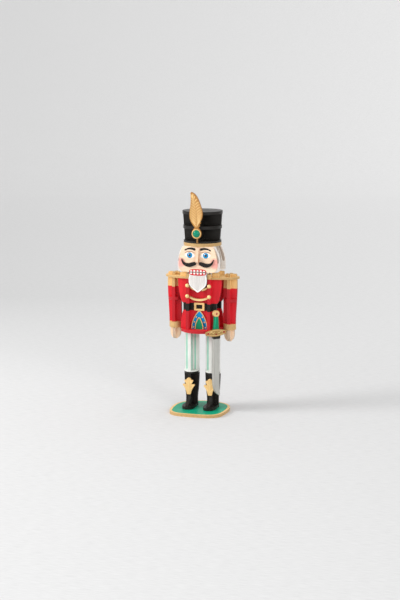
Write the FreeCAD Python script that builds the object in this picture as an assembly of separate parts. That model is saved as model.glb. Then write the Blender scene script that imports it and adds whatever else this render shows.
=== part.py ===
"""Slot-together plywood nutcracker guardsman, about 220 mm tall, with a lever-worked jaw.

Millimetres, +Z up. The figure faces -Y and its own left is +X. The origin is on the underside of
the base, on the upright axis that the hat, torso, arms and legs are centred on.
Sheets cut from 3 mm plywood stand in three directions: "front" sheets span X and Z, "side"
sheets span Y and Z, and "level" sheets span X and Y. They lock with half laps and tabs.
"""
import FreeCAD
import Part
import math
import os

V = FreeCAD.Vector

# Stock and fits
PLY = 3.0                  # main plywood sheet
THIN_PLY = 2.0             # shoulder board, hat brim, feather, buckle, boot crests
VENEER = 1.2               # apron panels, moustache, sword guard
FIT = 0.05                 # clearance on each side of a slot
RUNNING_FIT = 0.05         # radial clearance of the jaw lever on its pin

# Levels: underside of each level sheet
SOLE_Z = PLY
HEM_Z = 37.6
SKIRT_Z = 81.0
BOARD_Z = 134.6
BAND_Z = 167.3
BAND_T = 3.1
BRIM_Z = BAND_Z + BAND_T
RING_Z = 184.2
HAT_TOP_Z = 198.5

# Plan
SIDE_X = 11.0              # legs and the long side frames stand at plus and minus this
TORSO_Y = 8.5              # middle of the front and back torso sheets
FRAME_FRONT = -15.8        # front edge of the side frames at the chest
FACE_Y = -17.2             # front of the face and of the jaw sheet
ARM_X = 28.5
ARM_CENTRE_TOP = 29.0      # middle of the arm sheet at the shoulder
ARM_CENTRE_CUFF = 27.9     # and at the cuff

SKIRT_R = 21.5
BOARD_HALF_LENGTH = 38.0
BOARD_HALF_DEPTH = 15.0
BAND_R = 18.85
BRIM_R = 18.7
RING_R = 19.2
HAT_TOP_R = 19.95

LEG_HALF_W = 7.2
LEG_HALF_D = 10.0
BOOT_HALF_W = 7.7
HEM_HALF_W = 7.5
LEG_LAP_Z = 45.0
TORSO_LAP_Z = 109.0
ARM_LAP_Z = 102.0
HAT_LAP_Z = 187.0

CUFF_Z = 83.2
CUFF_R = 6.3
ELBOW_Z = 111.3
ELBOW_R = 6.7
HEAD_Z = 142.0             # underside of the face, and the line of the mouth

PIVOT_Z = 120.0            # jaw pin, at Y = 0
PIN_R = 1.5
PIN_HALF_LENGTH = 14.0
LEVER_SLOT_FRONT_Z = 124.3 # bottom of the lever's slot in the front torso sheet
LEVER_SLOT_BACK_Z = 114.0  # and in the back one
LEVER_GAP = 0.3            # clearance each side of the lever in the torso sheets

BUTTON_R = 2.05
BUTTON_X = 11.2
BUTTON_ZS = (128.0, 117.35)
BRAID_T = 3.6              # how far the braid stands proud of the coat
FEATHER_Y = -19.6          # back of the feather sheet
JEWEL_R = 3.9
JEWEL_Z = 180.4

SWORD_AZIMUTH = 51.2       # degrees round the skirt from straight ahead, towards +X
SWORD_HALF_W = 3.45
TONGUE_HALF_W = 2.0        # tongue of the skirt that the sword hangs on
POMMEL_Z = 101.0
POMMEL_R = 3.3
GEM_R = 1.0


def box(x0, x1, y0, y1, z0, z1):
    """Block between two corners."""
    return Part.makeBox(x1 - x0, y1 - y0, z1 - z0, V(x0, y0, z0))


def edge_through(points):
    """Line through 2 points, circular arc through 3, smooth curve through more."""
    if len(points) == 2:
        return Part.LineSegment(points[0], points[1]).toShape()
    if len(points) == 3:
        return Part.Arc(points[0], points[1], points[2]).toShape()
    curve = Part.BSplineCurve()
    curve.interpolate(points)
    return curve.toShape()


def sheet(runs, place, thickness):
    """Sheet whose outline is a chain of runs; place maps (u, v) to space, thickness is a vector."""
    edges = [edge_through([place(u, v) for u, v in run]) for run in runs]
    return Part.Face(Part.Wire(edges)).extrude(thickness)


def front_sheet(runs, y_front, t=PLY):
    """Sheet in the X-Z plane: y_front is its face nearer to -Y."""
    return sheet(runs, lambda x, z: V(x, y_front, z), V(0, t, 0))


def side_sheet(runs, x_middle, t=PLY):
    """Sheet in the Y-Z plane, centred on x_middle."""
    return sheet(runs, lambda y, z: V(x_middle - t / 2, y, z), V(t, 0, 0))


def smooth_level_sheet(points, z, t=PLY):
    """Level sheet with one smooth closed outline through the points."""
    curve = Part.BSplineCurve()
    curve.interpolate([V(x, y, z) for x, y in points], PeriodicFlag=True)
    return Part.Face(Part.Wire(curve.toShape())).extrude(V(0, 0, t))


def oval_sheet(x, half_x, half_y, z, t=PLY):
    """Level oval sheet; half_x and half_y are its half sizes."""
    long_end, short_end = V(half_x, 0, 0), V(0, half_y, 0)
    if half_y > half_x:
        long_end, short_end = short_end, long_end
    centre = V(x, 0, z)
    ellipse = Part.Ellipse(centre + long_end, centre + short_end, centre)
    return Part.Face(Part.Wire(ellipse.toShape())).extrude(V(0, 0, t))


def disc(radius, z, t=PLY, x=0.0):
    """Round level sheet."""
    return Part.makeCylinder(radius, t, V(x, 0, z))


def both_sides(right_runs):
    """Close a right-hand half outline, running from axis to axis, with its mirror image."""
    mirrored = [[(-u, v) for u, v in reversed(run)] for run in reversed(right_runs)]
    return right_runs + mirrored


def mirror_x(shape):
    """The same piece on the other side of the figure."""
    return shape.mirror(V(0, 0, 0), V(1, 0, 0))


def shifted(runs, du):
    """The outline moved sideways."""
    return [[(u + du, v) for u, v in run] for run in runs]


def slot_x(x, z0, z1, t=PLY):
    """Slot for a side sheet at x, through everything in Y, between two heights."""
    half = t / 2 + FIT
    return box(x - half, x + half, -60, 60, z0, z1)


def slot_y(y, z0, z1, x0=-60.0, x1=60.0, t=PLY):
    """Slot for a front sheet centred on y, between two heights."""
    half = t / 2 + FIT
    return box(x0, x1, y - half, y + half, z0, z1)


def tab_hole(x, y, half_x, half_y, z0, z1):
    """Hole for a tab, with the slot clearance all round."""
    return box(x - half_x - FIT, x + half_x + FIT, y - half_y - FIT, y + half_y + FIT, z0, z1)


def cut_all(shape, tools):
    """Cut a list of tools from a shape."""
    for tool in tools:
        shape = shape.cut(tool)
    return shape


def halves(level_sheet, x_side, inner_y, z0, z1):
    """Cut a level sheet into a front half and a back half that slide onto a standing cross.

    The front sheet of the cross passes between the halves; the side sheet, at x_side, is notched
    back to inner_y and enters a slot in each half.
    """
    half = PLY / 2
    gap = box(-60, 60, -half, half, z0, z1)
    slot = box(x_side - half - FIT, x_side + half + FIT, -inner_y, inner_y, z0, z1)
    return Part.makeCompound(cut_all(level_sheet, [gap, slot]).Solids)


def edge_notches(y_edge, y_inner, z0, z1):
    """Blocks that notch both standing edges of a side sheet between two heights."""
    return [box(-60, 60, -y_edge, -y_inner, z0, z1), box(-60, 60, y_inner, y_edge, z0, z1)]


# ---------------------------------------------------------------- base and legs

BASE_RIGHT = [(0, -37.4), (10, -37.1), (19, -35.2), (24.9, -30.1), (27.8, -20.5), (28.9, -8.5),
              (27.8, 3.5), (23.0, 12.8), (13.2, 19.2), (0, 21.6)]
SOLE_RIGHT = [(0, -21.2), (4.1, -19.4), (6.0, -14.5), (6.2, -5.0), (5.5, 3.0), (3.5, 8.4),
              (0, 10.2)]
LEG_TAB = 4.0              # half width of a leg's middle tab
LEG_EAR = (3.5, 6.5)       # the pair of tabs each side of a lap


def full_loop(right_points):
    """Whole smooth outline from its right half, which starts and ends on the axis."""
    return right_points + [(-x, y) for x, y in reversed(right_points[1:-1])]


def leg_holes(x, z0, z1, front_is_split):
    """Holes that one leg's tabs pass through: a middle tab and a pair of ears."""
    ear_middle = (LEG_EAR[0] + LEG_EAR[1]) / 2
    ear_half = (LEG_EAR[1] - LEG_EAR[0]) / 2
    half = PLY / 2
    if front_is_split:
        return [tab_hole(x, 0, half, LEG_TAB, z0, z1),
                tab_hole(x - ear_middle, 0, ear_half, half, z0, z1),
                tab_hole(x + ear_middle, 0, ear_half, half, z0, z1)]
    return [tab_hole(x, 0, LEG_TAB, half, z0, z1),
            tab_hole(x, -ear_middle, half, ear_half, z0, z1),
            tab_hole(x, ear_middle, half, ear_half, z0, z1)]


def base_plate():
    """Rounded base that the boots' tabs pass through."""
    plate = smooth_level_sheet(full_loop(BASE_RIGHT), 0)
    return cut_all(plate, leg_holes(SIDE_X, 0, PLY, True) + leg_holes(-SIDE_X, 0, PLY, True))


def sole():
    """Sole of the left boot, with its rounded toe forward."""
    points = [(x + SIDE_X, y) for x, y in full_loop(SOLE_RIGHT)]
    return cut_all(smooth_level_sheet(points, SOLE_Z), leg_holes(SIDE_X, SOLE_Z, SOLE_Z + PLY, True))


def leg_front():
    """Front sheet of one leg: trouser above, boot below, lapped from the bottom."""
    top = SKIRT_Z
    floor = SOLE_Z + PLY
    inner, outer = LEG_EAR
    right = [
        [(0, 0), (inner, 0)],
        [(inner, 0), (outer - 0.4, 0)],
        [(outer - 0.4, 0), (outer - 0.4, floor)],
        [(outer - 0.4, floor), (5.9, 9.0), (6.0, 13.5), (6.7, 20.0), (7.4, 30.0), (BOOT_HALF_W, HEM_Z)],
        [(BOOT_HALF_W, HEM_Z), (BOOT_HALF_W, HEM_Z + PLY)],
        [(BOOT_HALF_W, HEM_Z + PLY), (LEG_HALF_W, HEM_Z + PLY)],
        [(LEG_HALF_W, HEM_Z + PLY), (LEG_HALF_W, top)],
        [(LEG_HALF_W, top), (LEG_TAB, top)],
        [(LEG_TAB, top), (LEG_TAB, top + PLY)],
        [(LEG_TAB, top + PLY), (0, top + PLY)],
    ]
    plate = front_sheet(shifted(both_sides(right), SIDE_X), -PLY / 2)
    foot_gap = box(SIDE_X - inner, SIDE_X + inner, -60, 60, -1, floor)
    return cut_all(plate, [slot_x(SIDE_X, 0, LEG_LAP_Z), foot_gap])


def leg_side():
    """Side sheet of one leg, with the boot's toe, lapped from the top."""
    top = SKIRT_Z
    floor = SOLE_Z + PLY
    outline = [
        [(-LEG_TAB, 0), (LEG_TAB, 0)],
        [(LEG_TAB, 0), (LEG_TAB, floor)],
        [(LEG_TAB, floor), (9.6, floor)],
        [(9.6, floor), (9.0, 9.5), (8.7, 14.0), (9.1, 22.0), (LEG_HALF_D, HEM_Z)],
        [(LEG_HALF_D, HEM_Z), (LEG_HALF_D, top)],
        [(LEG_HALF_D, top), (-LEG_HALF_D, top)],
        [(-LEG_HALF_D, top), (-LEG_HALF_D, 17.0)],
        [(-LEG_HALF_D, 17.0), (-10.3, 13.6), (-12.8, 10.6), (-16.2, 9.0), (-18.6, 7.6), (-19.0, floor)],
        [(-19.0, floor), (-LEG_TAB, floor)],
        [(-LEG_TAB, floor), (-LEG_TAB, 0)],
    ]
    plate = side_sheet(outline, SIDE_X)
    for sign in (-1, 1):
        y0, y1 = sorted((sign * LEG_EAR[0], sign * LEG_EAR[1]))
        ear = box(SIDE_X - PLY / 2, SIDE_X + PLY / 2, y0, y1, top - 1, top + PLY)
        plate = plate.fuse(ear)
    lap = slot_y(0, LEG_LAP_Z, top + PLY)
    notches = edge_notches(LEG_HALF_D + 1, LEG_HALF_D - 2.5, HEM_Z, HEM_Z + PLY)
    return cut_all(plate.removeSplitter(), [lap] + notches)


def hem_halves():
    """Trouser hem on top of the boot, in two halves."""
    oval = oval_sheet(SIDE_X, HEM_HALF_W, LEG_HALF_D + 0.2, HEM_Z)
    return halves(oval, SIDE_X, LEG_HALF_D - 2.5, HEM_Z, HEM_Z + PLY)


def boot_crest():
    """Leaf-shaped crest on the front edge of the boot's side sheet."""
    right = [
        [(0, 33.8), (1.7, 33.2), (2.3, 31.9)],
        [(2.3, 31.9), (3.4, 31.5)],
        [(3.4, 31.5), (4.4, 31.2), (4.4, 30.3)],
        [(4.4, 30.3), (2.6, 27.2)],
        [(2.6, 27.2), (5.2, 27.4)],
        [(5.2, 27.4), (6.1, 27.0), (6.0, 25.9)],
        [(6.0, 25.9), (3.2, 21.4), (2.1, 17.4)],
        [(2.1, 17.4), (1.7, 17.0), (1.3, 16.8)],
        [(1.3, 16.8), (0, 16.8)],
    ]
    return front_sheet(shifted(both_sides(right), SIDE_X), -LEG_HALF_D - THIN_PLY, THIN_PLY)


# ---------------------------------------------------------------- torso

FRAME_TAB_Y = (9.0, 13.0)      # side frames' tabs in the skirt disc
BOARD_TAB_Y = (-6.0, -1.0)     # side frames' tabs in the shoulder board
HEAD_TAB_Y = (0.5, 5.5)        # head sheets' tabs in the shoulder board
TORSO_TAB = 4.0
COLLAR_X = (12.8, 20.2)
COLLAR_TOP_Z = 140.6
POST_BACK_Y = -11.6
POST_TOP_Z = 139.8
ARM_TAB_X = (23.6, 35.4)
ARM_TAB_TOP_Z = 139.4
ARM_TAB_HALF_D = 5.5


def strip_hole(x, y_range, z0, z1):
    """Hole for a side sheet's tab that spans y_range."""
    y_middle = (y_range[0] + y_range[1]) / 2
    return tab_hole(x, y_middle, PLY / 2, (y_range[1] - y_range[0]) / 2, z0, z1)


def sword_tab():
    """Tongue on the skirt's rim that carries the sword."""
    half = TONGUE_HALF_W
    tongue = box(-half, half, -SKIRT_R - PLY, -SKIRT_R + 2, SKIRT_Z, SKIRT_Z + PLY)
    tongue.rotate(V(0, 0, 0), V(0, 0, 1), SWORD_AZIMUTH)
    return tongue


def skirt_disc():
    """Round level sheet that closes the skirt and joins the legs to the torso."""
    z0, z1 = SKIRT_Z, SKIRT_Z + PLY
    tools = [tab_hole(0, sign * TORSO_Y, TORSO_TAB, PLY / 2, z0, z1) for sign in (-1, 1)]
    for x in (-SIDE_X, SIDE_X):
        tools += leg_holes(x, z0, z1, False)
        tools.append(strip_hole(x, FRAME_TAB_Y, z0, z1))
        tools.append(strip_hole(x, (-FRAME_TAB_Y[1], -FRAME_TAB_Y[0]), z0, z1))
    return cut_all(disc(SKIRT_R, z0).fuse(sword_tab()).removeSplitter(), tools)


def torso_sheet(y_middle, lever_slot_z):
    """Coat seen from the front: flared skirt, waist, chest and two collar tabs."""
    floor = SKIRT_Z + PLY
    right = [
        [(0, SKIRT_Z), (TORSO_TAB, SKIRT_Z)],
        [(TORSO_TAB, SKIRT_Z), (TORSO_TAB, floor)],
        [(TORSO_TAB, floor), (19.7, floor)],
        [(19.7, floor), (19.7, 88.0), (19.1, 94.5), (17.9, 99.8), (17.0, 102.4)],
        [(17.0, 102.4), (17.0, 109.4)],
        [(17.0, 109.4), (18.7, 111.4), (20.4, 116.4), (21.9, 124.0), (22.6, BOARD_Z)],
        [(22.6, BOARD_Z), (COLLAR_X[1], BOARD_Z)],
        [(COLLAR_X[1], BOARD_Z), (COLLAR_X[1], 139.4)],
        [(COLLAR_X[1], 139.4), (19.85, 140.25), (19.0, COLLAR_TOP_Z)],
        [(19.0, COLLAR_TOP_Z), (COLLAR_X[0], COLLAR_TOP_Z)],
        [(COLLAR_X[0], COLLAR_TOP_Z), (COLLAR_X[0], BOARD_Z)],
        [(COLLAR_X[0], BOARD_Z), (0, BOARD_Z)],
    ]
    plate = front_sheet(both_sides(right), y_middle - PLY / 2)
    half = PLY / 2 + LEVER_GAP
    lever_slot = box(-half, half, -60, 60, lever_slot_z, BOARD_Z + 1)
    laps = [slot_x(x, 0, TORSO_LAP_Z) for x in (-SIDE_X, SIDE_X)]
    return cut_all(plate, laps + [lever_slot])


def side_frame():
    """Long side sheet of the torso: its front edge is the raised rib of the coat."""
    floor = SKIRT_Z + PLY
    front, back = FRAME_FRONT, -FRAME_FRONT
    hem_front = FRAME_FRONT - 1.6
    outline = [
        [(hem_front, floor), (-hem_front, floor)],
        [(-hem_front, floor), (-hem_front, 93.0), (back + 0.9, 101.0), (back + 0.2, 107.0),
         (back, 113.0)],
        [(back, 113.0), (back, BOARD_Z)],
        [(back, BOARD_Z), (POST_BACK_Y, BOARD_Z)],
        [(POST_BACK_Y, BOARD_Z), (POST_BACK_Y, POST_TOP_Z)],
        [(POST_BACK_Y, POST_TOP_Z), (front + 0.8, POST_TOP_Z)],
        [(front + 0.8, POST_TOP_Z), (front + 0.23, POST_TOP_Z - 0.23), (front, POST_TOP_Z - 0.8)],
        [(front, POST_TOP_Z - 0.8), (front, 113.0)],
        [(front, 113.0), (front - 0.2, 107.0), (front - 0.9, 101.0), (hem_front, 93.0),
         (hem_front, floor)],
    ]
    plate = side_sheet(outline, SIDE_X)
    x0, x1 = SIDE_X - PLY / 2, SIDE_X + PLY / 2
    for sign in (-1, 1):
        y0, y1 = sorted((sign * FRAME_TAB_Y[0], sign * FRAME_TAB_Y[1]))
        plate = plate.fuse(box(x0, x1, y0, y1, SKIRT_Z, floor + 1))
    plate = plate.fuse(box(x0, x1, BOARD_TAB_Y[0], BOARD_TAB_Y[1], BOARD_Z - 1, BOARD_Z + THIN_PLY))
    laps = [slot_y(y, TORSO_LAP_Z, BOARD_Z + 1) for y in (-TORSO_Y, TORSO_Y)]
    pin_hole = Part.makeCylinder(PIN_R, 40, V(0, 0, PIVOT_Z), V(1, 0, 0))
    return cut_all(plate.removeSplitter(), laps + [pin_hole])


def shoulder_board():
    """Long oval epaulette board that the arms, collar and head stand on or pass through."""
    z0, z1 = BOARD_Z, BOARD_Z + THIN_PLY
    tools = [box(-SIDE_X - PLY / 2 - FIT, SIDE_X + PLY / 2 + FIT, -60, POST_BACK_Y + FIT, z0, z1)]
    arm_middle = (ARM_TAB_X[0] + ARM_TAB_X[1]) / 2
    arm_half = (ARM_TAB_X[1] - ARM_TAB_X[0]) / 2
    collar_middle = (COLLAR_X[0] + COLLAR_X[1]) / 2
    collar_half = (COLLAR_X[1] - COLLAR_X[0]) / 2
    for sign in (-1, 1):
        tools.append(strip_hole(sign * SIDE_X, BOARD_TAB_Y, z0, z1))
        tools.append(strip_hole(sign * SIDE_X, HEAD_TAB_Y, z0, z1))
        tools.append(tab_hole(sign * arm_middle, 0, arm_half, PLY / 2, z0, z1))
        tools.append(tab_hole(sign * ARM_X, 0, PLY / 2, ARM_TAB_HALF_D, z0, z1))
        for y in (-TORSO_Y, TORSO_Y):
            tools.append(tab_hole(sign * collar_middle, y, collar_half, PLY / 2, z0, z1))
    return cut_all(oval_sheet(0, BOARD_HALF_LENGTH, BOARD_HALF_DEPTH, z0, THIN_PLY), tools)


TORSO_FRONT_Y = -TORSO_Y - PLY / 2      # front face of the front torso sheet


def belt_buckle():
    """Rectangular buckle frame on the belt."""
    outer = box(-5.3, 5.3, TORSO_FRONT_Y - THIN_PLY, TORSO_FRONT_Y, 102.7, 110.5)
    corners = [e for e in outer.Edges if abs(e.BoundBox.YLength - THIN_PLY) < 1e-6]
    outer = outer.makeFillet(0.6, corners)
    return outer.cut(box(-3.2, 3.2, -60, 60, 104.5, 108.7))


def apron_panel(half_base, apex_z, y_front):
    """Pointed arch standing on the skirt disc."""
    floor = SKIRT_Z + PLY
    height = apex_z - floor
    right = [
        [(0, floor), (half_base, floor)],
        [(half_base, floor), (0.91 * half_base, floor + 0.33 * height),
         (0.62 * half_base, floor + 0.66 * height), (0.3 * half_base, floor + 0.87 * height),
         (0, apex_z)],
    ]
    return front_sheet(both_sides(right), y_front, VENEER)


def garland(z_end, x_inner, sag):
    """Piece of coat braid that sags between the ribs, from x_inner to the left rib's face.

    With x_inner at minus the rib's face it is one whole swag.
    """
    x_end = SIDE_X - PLY / 2 - FIT
    width = 2.0
    y_front = TORSO_FRONT_Y - BRAID_T

    def low(x):
        return z_end - 2.4 - sag * (1 - (x / x_end) ** 2)

    x_middle = (x_inner + x_end) / 2
    outline = [
        [(x_inner, low(x_inner)), (x_middle, low(x_middle)), (x_end, low(x_end))],
        [(x_end, low(x_end)), (x_end, low(x_end) + width)],
        [(x_end, low(x_end) + width), (x_middle, low(x_middle) + width),
         (x_inner, low(x_inner) + width)],
        [(x_inner, low(x_inner) + width), (x_inner, low(x_inner))],
    ]
    return front_sheet(outline, y_front, BRAID_T)


def dome(radius, height, y_back, x, z):
    """Round dome standing on a front face at y_back, bulging towards -Y."""
    ball_r = (radius ** 2 + height ** 2) / (2 * height)
    ball = Part.makeSphere(ball_r, V(x, y_back + ball_r - height, z))
    return ball.common(box(x - 9, x + 9, y_back - height - 1, y_back, z - 9, z + 9))


def coat_buttons():
    """Four gilt buttons on the front edges of the side frames."""
    return Part.makeCompound([dome(BUTTON_R, 1.7, FRAME_FRONT, x, z)
                              for x in (-BUTTON_X, BUTTON_X) for z in BUTTON_ZS])


# ---------------------------------------------------------------- arms

def arm_front():
    """Front sheet of one arm, from the shoulder tab to the finger tips, lapped from below."""
    wrist = CUFF_Z
    outline = [
        [(34.4, wrist), (35.1, 108.0), (35.8, 122.0), (35.7, BOARD_Z)],
        [(35.7, BOARD_Z), (ARM_TAB_X[1], BOARD_Z)],
        [(ARM_TAB_X[1], BOARD_Z), (ARM_TAB_X[1], ARM_TAB_TOP_Z - 1.2)],
        [(ARM_TAB_X[1], ARM_TAB_TOP_Z - 1.2), (35.05, ARM_TAB_TOP_Z - 0.35),
         (ARM_TAB_X[1] - 1.2, ARM_TAB_TOP_Z)],
        [(ARM_TAB_X[1] - 1.2, ARM_TAB_TOP_Z), (ARM_TAB_X[0] + 1.2, ARM_TAB_TOP_Z)],
        [(ARM_TAB_X[0] + 1.2, ARM_TAB_TOP_Z), (23.95, ARM_TAB_TOP_Z - 0.35),
         (ARM_TAB_X[0], ARM_TAB_TOP_Z - 1.2)],
        [(ARM_TAB_X[0], ARM_TAB_TOP_Z - 1.2), (ARM_TAB_X[0], BOARD_Z)],
        [(ARM_TAB_X[0], BOARD_Z), (22.3, BOARD_Z)],
        [(22.3, BOARD_Z), (22.2, 122.0), (22.0, 108.0), (21.7, wrist)],
        [(21.7, wrist), (23.0, wrist)],
        [(23.0, wrist), (22.7, 79.6), (23.1, 76.0), (24.6, 72.9), (26.4, 71.5), (28.0, 71.1),
         (29.6, 71.5), (31.4, 72.9), (32.9, 76.0), (33.3, 79.6), (33.0, wrist)],
        [(33.0, wrist), (34.4, wrist)],
    ]
    return front_sheet(outline, -PLY / 2).cut(slot_x(ARM_X, 0, ARM_LAP_Z))


def arm_side():
    """Side sheet of one arm, lapped from above, notched for the elbow and the cuff."""
    wrist = CUFF_Z
    right = [
        [(0, 71.1), (1.6, 71.5), (3.3, 72.9), (4.7, 76.0), (5.1, 79.6), (4.8, wrist)],
        [(4.8, wrist), (6.3, wrist)],
        [(6.3, wrist), (6.6, BOARD_Z)],
        [(6.6, BOARD_Z), (ARM_TAB_HALF_D, BOARD_Z)],
        [(ARM_TAB_HALF_D, BOARD_Z), (ARM_TAB_HALF_D, ARM_TAB_TOP_Z)],
        [(ARM_TAB_HALF_D, ARM_TAB_TOP_Z), (0, ARM_TAB_TOP_Z)],
    ]
    plate = side_sheet(both_sides(right), ARM_X)
    elbow = edge_notches(ELBOW_R + 1, ELBOW_R - 2, ELBOW_Z, ELBOW_Z + PLY)
    cuff = edge_notches(CUFF_R + 1, CUFF_R - 2, CUFF_Z, CUFF_Z + 2 * PLY)
    return cut_all(plate, [slot_y(0, ARM_LAP_Z, ARM_TAB_TOP_Z + 1)] + elbow + cuff)


def arm_centre(z):
    """Middle of the front arm sheet at height z."""
    share = (z - CUFF_Z) / (BOARD_Z - CUFF_Z)
    return ARM_CENTRE_CUFF + share * (ARM_CENTRE_TOP - ARM_CENTRE_CUFF)


def elbow_halves():
    """Round elbow sheet, in two halves."""
    centre = arm_centre(ELBOW_Z)
    return halves(disc(ELBOW_R, ELBOW_Z, PLY, centre), ARM_X, ELBOW_R - 2, ELBOW_Z, ELBOW_Z + PLY)


def cuff_halves():
    """Cuff of two round sheets, each in two halves."""
    layers = [halves(disc(CUFF_R, z, PLY, ARM_CENTRE_CUFF), ARM_X, CUFF_R - 2, z, z + PLY)
              for z in (CUFF_Z, CUFF_Z + PLY)]
    return Part.makeCompound([solid for layer in layers for solid in layer.Solids])


# ---------------------------------------------------------------- head and jaw

HEAD_TAB_Z = (150.0, 158.0)
HEAD_TOP_TAB = 4.0
NOSE_TENON_Z = (153.0, 166.0)
HAIR_FRONT_Y = FACE_Y + PLY
HEAD_BACK_Y = TORSO_Y - PLY / 2         # front face of the back hair sheet
JAW_HALF_W = 9.0


def nose_slot():
    """Slot for the nose's tenon."""
    half = PLY / 2 + FIT
    return box(-half, half, -60, 60, NOSE_TENON_Z[0] - FIT, NOSE_TENON_Z[1] + FIT)


def face_sheet():
    """Flat face, narrower at the brow, with a slot for the nose."""
    right = [
        [(0, HEAD_Z), (14.6, HEAD_Z)],
        [(14.6, HEAD_Z), (17.3, 142.8), (19.0, 145.2), (19.6, 149.5), (18.8, 157.0), (17.1, 163.0),
         (15.0, BAND_Z)],
        [(15.0, BAND_Z), (0, BAND_Z)],
    ]
    return front_sheet(both_sides(right), FACE_Y).cut(nose_slot())


def hair_sheet(y_front):
    """Bobbed hair sheet, wider than the face, with slots for the head side sheets."""
    right = [
        [(0, HEAD_Z), (19.4, HEAD_Z)],
        [(19.4, HEAD_Z), (20.8, 142.7), (21.3, 144.9), (21.5, 151.0), (20.2, 158.6), (18.3, 163.8),
         (16.0, BAND_Z)],
        [(16.0, BAND_Z), (0, BAND_Z)],
    ]
    slots = [slot_x(x, HEAD_TAB_Z[0] - FIT, HEAD_TAB_Z[1] + FIT) for x in (-SIDE_X, SIDE_X)]
    return cut_all(front_sheet(both_sides(right), y_front), slots)


def head_side():
    """Side sheet of the head, between the shoulder board and the hat band."""
    x0, x1 = SIDE_X - PLY / 2, SIDE_X + PLY / 2
    front, back = HAIR_FRONT_Y + PLY, HEAD_BACK_Y
    floor = BOARD_Z + THIN_PLY
    plate = box(x0, x1, front, back, floor, BAND_Z)
    tabs = [
        box(x0, x1, HAIR_FRONT_Y, back + PLY, HEAD_TAB_Z[0], HEAD_TAB_Z[1]),
        box(x0, x1, HEAD_TAB_Y[0], HEAD_TAB_Y[1], BOARD_Z, floor + 1),
        box(x0, x1, -HEAD_TOP_TAB, HEAD_TOP_TAB, BAND_Z - 1, BRIM_Z),
    ]
    for tab in tabs:
        plate = plate.fuse(tab)
    return plate.removeSplitter()


def nose():
    """Nose sheet, wedged through the face and the front hair sheet."""
    outline = [
        [(FACE_Y, 167.0), (FACE_Y - 0.8, 165.0), (FACE_Y - 2.0, 160.0), (FACE_Y - 3.4, 154.6),
         (FACE_Y - 3.4, 152.6), (FACE_Y - 2.2, 151.5), (FACE_Y, 151.3)],
        [(FACE_Y, 151.3), (FACE_Y, NOSE_TENON_Z[0])],
        [(FACE_Y, NOSE_TENON_Z[0]), (-7.0, NOSE_TENON_Z[0])],
        [(-7.0, NOSE_TENON_Z[0]), (-7.0, NOSE_TENON_Z[1])],
        [(-7.0, NOSE_TENON_Z[1]), (FACE_Y, NOSE_TENON_Z[1])],
        [(FACE_Y, NOSE_TENON_Z[1]), (FACE_Y, 167.0)],
    ]
    return side_sheet(outline, 0)


def moustache():
    """Left half of the moustache, cut from veneer and glued to the face."""
    outline = [
        [(16.2, 155.2), (16.0, 151.9), (14.0, 148.9), (11.2, 147.4), (8.4, 147.0), (5.2, 147.6),
         (2.9, 148.7)],
        [(2.9, 148.7), (1.4, 150.3), (2.4, 152.0)],
        [(2.4, 152.0), (4.6, 151.9), (8.2, 150.9), (11.4, 150.8), (13.8, 151.7), (15.3, 153.4),
         (16.2, 155.2)],
    ]
    return front_sheet(outline, FACE_Y - VENEER, VENEER)


def jaw_sheet():
    """Lower lip and beard on one sheet, hung between the ribs."""
    top = HEAD_Z - 0.3
    right = [
        [(0, top), (8.3, top)],
        [(8.3, top), (8.75, top - 0.2), (8.9, top - 0.7)],
        [(8.9, top - 0.7), (8.9, 139.4)],
        [(8.9, 139.4), (8.75, 138.7), (8.5, 138.3)],
        [(8.5, 138.3), (8.9, 136.4), (JAW_HALF_W, 133.6), (8.7, 130.6), (7.7, 128.2), (5.8, 126.2)],
        [(5.8, 126.2), (3.6, 124.35), (1.2, 122.6)],
        [(1.2, 122.6), (0, 121.8)],
    ]
    return front_sheet(both_sides(right), FACE_Y)


def jaw_lever():
    """Lever on the pin: its tongue is glued to the jaw sheet, its tail is the handle."""
    tongue_y = FACE_Y + PLY
    outline = [
        [(tongue_y, 133.1), (-6.4, 133.1)],
        [(-6.4, 133.1), (-3.4, 131.8), (0.4, 128.8), (4.6, 126.4), (9.4, 125.0), (14.6, 123.4),
         (19.8, 120.4), (24.0, 115.4), (26.4, 110.2)],
        [(26.4, 110.2), (25.6, 107.4), (22.9, 108.0)],
        [(22.9, 108.0), (20.6, 112.0), (16.8, 115.2), (11.6, 116.6), (5.2, 115.9), (0.6, 115.7),
         (-2.9, 116.9), (-4.2, 120.0), (-3.8, 123.6), (-5.2, 127.0)],
        [(-5.2, 127.0), (-8.4, 128.2)],
        [(-8.4, 128.2), (tongue_y, 128.6)],
        [(tongue_y, 128.6), (tongue_y, 133.1)],
    ]
    bore = Part.makeCylinder(PIN_R + RUNNING_FIT, 40, V(-20, 0, PIVOT_Z), V(1, 0, 0))
    return side_sheet(outline, 0).cut(bore)


def jaw_pin():
    """Dowel through both side frames, with eased ends."""
    pin = Part.makeCylinder(PIN_R, 2 * PIN_HALF_LENGTH, V(-PIN_HALF_LENGTH, 0, PIVOT_Z), V(1, 0, 0))
    rims = [e for e in pin.Edges if isinstance(e.Curve, Part.Circle)]
    return pin.makeChamfer(0.4, rims)


# ---------------------------------------------------------------- hat

HAT_TAB = 4.0                  # half width of the hat front sheet's tabs
HAT_EAR_Y = (5.0, 9.0)         # hat side sheet's tabs, each side of the middle
HAT_NOTCH_Y = 15.0             # how far in the hat side sheet is notched for the ring


def hat_tab_holes(z0, z1):
    """Holes for the hat sheets' tabs in a level sheet of the hat."""
    return [tab_hole(0, 0, HAT_TAB, PLY / 2, z0, z1),
            strip_hole(0, HAT_EAR_Y, z0, z1),
            strip_hole(0, (-HAT_EAR_Y[1], -HAT_EAR_Y[0]), z0, z1)]


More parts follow.
